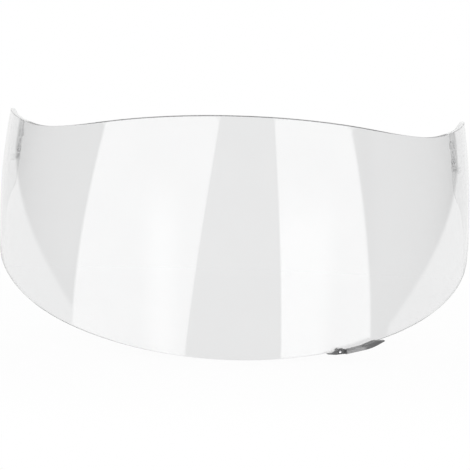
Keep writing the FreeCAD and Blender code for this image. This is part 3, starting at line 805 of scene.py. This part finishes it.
def light_boxes(tree, turn, rise):
    """The two soft boxes with the lamps behind them, and the dim room between them."""
    boxes = []
    for outer, outer_lean, inner, inner_lean in LIGHT_BOXES:
        first = maths(tree, "MULTIPLY_ADD", rise, outer_lean, outer)
        second = maths(tree, "MULTIPLY_ADD", rise, inner_lean, inner)
        across = band(tree, turn, first, second, BOX_SIDE_SOFTNESS)
        boxes.append(maths(tree, "MULTIPLY", across, band(tree, rise, *BOX_SPAN_UP)))
    lower = smooth_step(tree, maths(tree, "MULTIPLY", rise, -1.0), *LAMPS_BELOW)
    lamps = [band(tree, turn, first, last, LAMP_SOFTNESS) for first, last in LAMP_SPANS]
    hot = maths(tree, "MULTIPLY", maths(tree, "ADD", *lamps), lower)
    light = maths(tree, "MULTIPLY_ADD", hot, BOX_GAIN, BOX_LIGHT)
    boxes = maths(tree, "MULTIPLY", maths(tree, "ADD", *boxes), light)
    room = maths(tree, "MULTIPLY", band(tree, turn, *ROOM_SPAN), ROOM_LIGHT)
    return maths(tree, "MAXIMUM", boxes, room)


def white_studio(tree, turn, rise, aside):
    """The white sweep at the sides and low in front, the back wall and the ceiling."""
    side = maths(tree, "MULTIPLY_ADD", maths(tree, "SIGN", turn), SWEEP_TILT, SWEEP_LEVEL)
    past = maths(tree, "MAXIMUM", aside, SWEEP_FROM)
    line = maths(tree, "MULTIPLY_ADD", past, SWEEP_CLIMB, side)
    under = maths(tree, "SUBTRACT", line, rise)
    sweep = smooth_step(tree, under, -SWEEP_SOFTNESS, SWEEP_SOFTNESS)
    before = maths(tree, "SUBTRACT", SWEEP_FROM, aside)
    front = smooth_step(tree, before, -SWEEP_FROM_SOFTNESS, SWEEP_FROM_SOFTNESS)
    low_front = smooth_step(tree, maths(tree, "MULTIPLY", rise, -1.0), *SWEEP_AHEAD_BELOW)
    open_to = maths(tree, "MAXIMUM", remainder(tree, front), low_front)
    sweep = maths(tree, "MULTIPLY", sweep, open_to)
    behind = smooth_step(tree, aside, *BACK_FROM)
    ceiling = maths(tree, "MULTIPLY", smooth_step(tree, rise, *CEILING_FROM), CEILING_LIGHT)
    wall = maths(tree, "MULTIPLY", maths(tree, "MAXIMUM", sweep, behind), WALL_LIGHT)
    return maths(tree, "MAXIMUM", wall, ceiling)


def make_world():
    """The studio, as mirrored surfaces see it. The camera sees plain white."""
    paths = bpy.context.scene.cycles
    paths.max_bounces = ALL_BOUNCES
    paths.glossy_bounces = SHEET_BOUNCES
    paths.transmission_bounces = SHEET_BOUNCES
    world = bpy.data.worlds.new("studio")
    bpy.context.scene.world = world
    world.use_nodes = True
    tree = world.node_tree
    coordinates = tree.nodes.new("ShaderNodeTexCoord")
    split = tree.nodes.new("ShaderNodeSeparateXYZ")
    tree.links.new(coordinates.outputs["Generated"], split.inputs["Vector"])
    ahead = maths(tree, "MULTIPLY", split.outputs["Y"], -1.0)
    turn = maths(tree, "DEGREES", maths(tree, "ARCTAN2", split.outputs["X"], ahead))
    rise = maths(tree, "DEGREES", maths(tree, "ARCSINE", split.outputs["Z"]))
    aside = maths(tree, "ABSOLUTE", turn)
    boxes = light_boxes(tree, turn, rise)
    white = white_studio(tree, turn, rise, aside)

    # Light that has been mirrored more than once in the sheet never ends in the dark.
    path = tree.nodes.new("ShaderNodeLightPath")
    many = maths(tree, "GREATER_THAN", path.outputs["Glossy Depth"], TWICE)
    least = maths(tree, "MULTIPLY", many, LEAST_MIRRORED_LIGHT)
    dark = smooth_step(tree, aside, *SIDE_FROM)
    dark = maths(tree, "MULTIPLY_ADD", dark, SIDE_LIGHT, LEAST_LIGHT)
    dark = maths(tree, "MAXIMUM", dark, least)
    studio = maths(tree, "MAXIMUM", maths(tree, "MAXIMUM", white, boxes), dark)

    # White shows to the camera, straight through the sheet, and after its inner mirrorings.
    unreflected = maths(tree, "LESS_THAN", path.outputs["Glossy Depth"], ONCE)
    through = maths(tree, "MULTIPLY", path.outputs["Is Transmission Ray"], unreflected)
    deep = maths(tree, "GREATER_THAN", path.outputs["Transmission Depth"], THREE_TIMES)
    shown = maths(tree, "MAXIMUM", through, deep)
    shown = maths(tree, "MAXIMUM", path.outputs["Is Camera Ray"], shown)
    dimmed = maths(tree, "MULTIPLY", studio, remainder(tree, shown))
    sharp = maths(tree, "ADD", dimmed, shown)
    plain = maths(tree, "MULTIPLY_ADD", split.outputs["Z"], MATT_LIGHT_RISE, MATT_LIGHT)
    mix = tree.nodes.new("ShaderNodeMix")
    tree.links.new(path.outputs["Is Diffuse Ray"], mix.inputs["Factor"])
    tree.links.new(sharp, mix.inputs["A"])
    tree.links.new(plain, mix.inputs["B"])
    back = tree.nodes["Background"]
    tree.links.new(mix.outputs["Result"], back.inputs["Strength"])
    back.inputs["Color"].default_value = (1, 1, 1, 1)


def make_floor(height):
    """A white floor that keeps a faint shadow near the visor. A mirrored view passes through it."""
    mesh = bmesh.new()
    bmesh.ops.create_circle(mesh, cap_ends=True, segments=FLOOR_SEGMENTS, radius=FLOOR_RADIUS)
    floor = new_object("floor", mesh)
    floor.location = (0, 0, height)
    material, tree, shader = new_material("floor_white")
    shader.inputs["Base Color"].default_value = (*FLOOR_COLOUR, 1)
    shader.inputs["Roughness"].default_value = 1.0
    shader.inputs["Specular IOR Level"].default_value = 0.0
    glow = tree.nodes.new("ShaderNodeEmission")
    glow.inputs["Strength"].default_value = 1.0
    clear = tree.nodes.new("ShaderNodeBsdfTransparent")
    path = tree.nodes.new("ShaderNodeLightPath")
    coordinates = tree.nodes.new("ShaderNodeTexCoord")
    reach = tree.nodes.new("ShaderNodeVectorMath")
    reach.operation = "LENGTH"
    tree.links.new(coordinates.outputs["Object"], reach.inputs[0])
    near = remainder(tree, smooth_step(tree, reach.outputs["Value"], *SHADOW_REACH))
    through = path.outputs["Is Transmission Ray"]
    seen = maths(tree, "MAXIMUM", path.outputs["Is Camera Ray"], through)
    plain = maths(tree, "MULTIPLY_ADD", near, -SHADOW_SHARE, 1.0)
    lit = tree.nodes.new("ShaderNodeMixShader")
    tree.links.new(maths(tree, "MULTIPLY", seen, plain), lit.inputs["Fac"])
    tree.links.new(shader.outputs["BSDF"], lit.inputs[1])
    tree.links.new(glow.outputs["Emission"], lit.inputs[2])
    mirrored = maths(tree, "GREATER_THAN", path.outputs["Glossy Depth"], ONCE)
    mix = tree.nodes.new("ShaderNodeMixShader")
    tree.links.new(mirrored, mix.inputs["Fac"])
    tree.links.new(lit.outputs["Shader"], mix.inputs[1])
    tree.links.new(clear.outputs["BSDF"], mix.inputs[2])
    tree.links.new(mix.outputs["Shader"], tree.nodes["Material Output"].inputs["Surface"])
    floor.data.materials.append(material)


def make_camera():
    camera = bpy.data.objects.new("camera", bpy.data.cameras.new("camera"))
    bpy.context.scene.collection.objects.link(camera)
    ahead = (CAMERA_TARGET - CAMERA_PLACE).normalized()
    level = ahead.cross(Vector((0, 0, 1))).normalized()
    upright = level.cross(ahead)
    right = level * math.cos(CAMERA_ROLL) + upright * math.sin(CAMERA_ROLL)
    up = right.cross(ahead)
    turned = Matrix((right, up, -ahead)).transposed().to_4x4()
    camera.matrix_world = Matrix.Translation(CAMERA_PLACE * MM) @ turned
    camera.data.lens = CAMERA_LENS
    camera.data.sensor_width = CAMERA_SENSOR
    camera.data.clip_start, camera.data.clip_end = CAMERA_CLIP
    bpy.context.scene.camera = camera


def dress_shield():
    """The shield of the scene, in place of the plain solid."""
    shield = make_shield()
    shield.data.materials.append(clear_polycarbonate())
    shield.data.materials.append(trimmed_edge())
    # Faces along the top that look up take the trimmed edge and its painted shade.
    for polygon in shield.data.polygons:
        ear = EAR_TOP_SPAN[0] < polygon.center.y < EAR_TOP_SPAN[1]
        high = polygon.normal.z > SATIN_SHADE_LOOKS_UP and polygon.center.z > SATIN_SHADE_ABOVE
        if high and not ear:
            polygon.material_index = 1
    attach(shield, "visor")
    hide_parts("shield")


def dress_solids():
    """Finishes and softened edges for the solids that are carried over."""
    washers = washer_plastic()
    finishes = {
        "lock_lever": lever_plastic(),
        "pivot_rivet": turned_steel(),
        "backing_washer": washers,
        "friction_washer": washers,
    }
    for name, material in finishes.items():
        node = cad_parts[name]
        node.data.materials.clear()
        node.data.materials.append(material)
        weld = node.modifiers.new("weld", "WELD")
        weld.merge_threshold = WELD_DISTANCE
        soft = node.modifiers.new("soft_edges", "BEVEL")
        soft.width = EDGE_SOFTNESS[name] * MM
        soft.segments = EDGE_SEGMENTS
        soft.limit_method = "ANGLE"
        soft.angle_limit = EDGE_ANGLE
        soft.harden_normals = True


def main():
    bpy.context.scene.view_settings.view_transform = "Standard"
    dress_shield()
    dress_solids()
    make_world()
    make_floor(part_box("shield")[0].z)
    make_camera()


main()
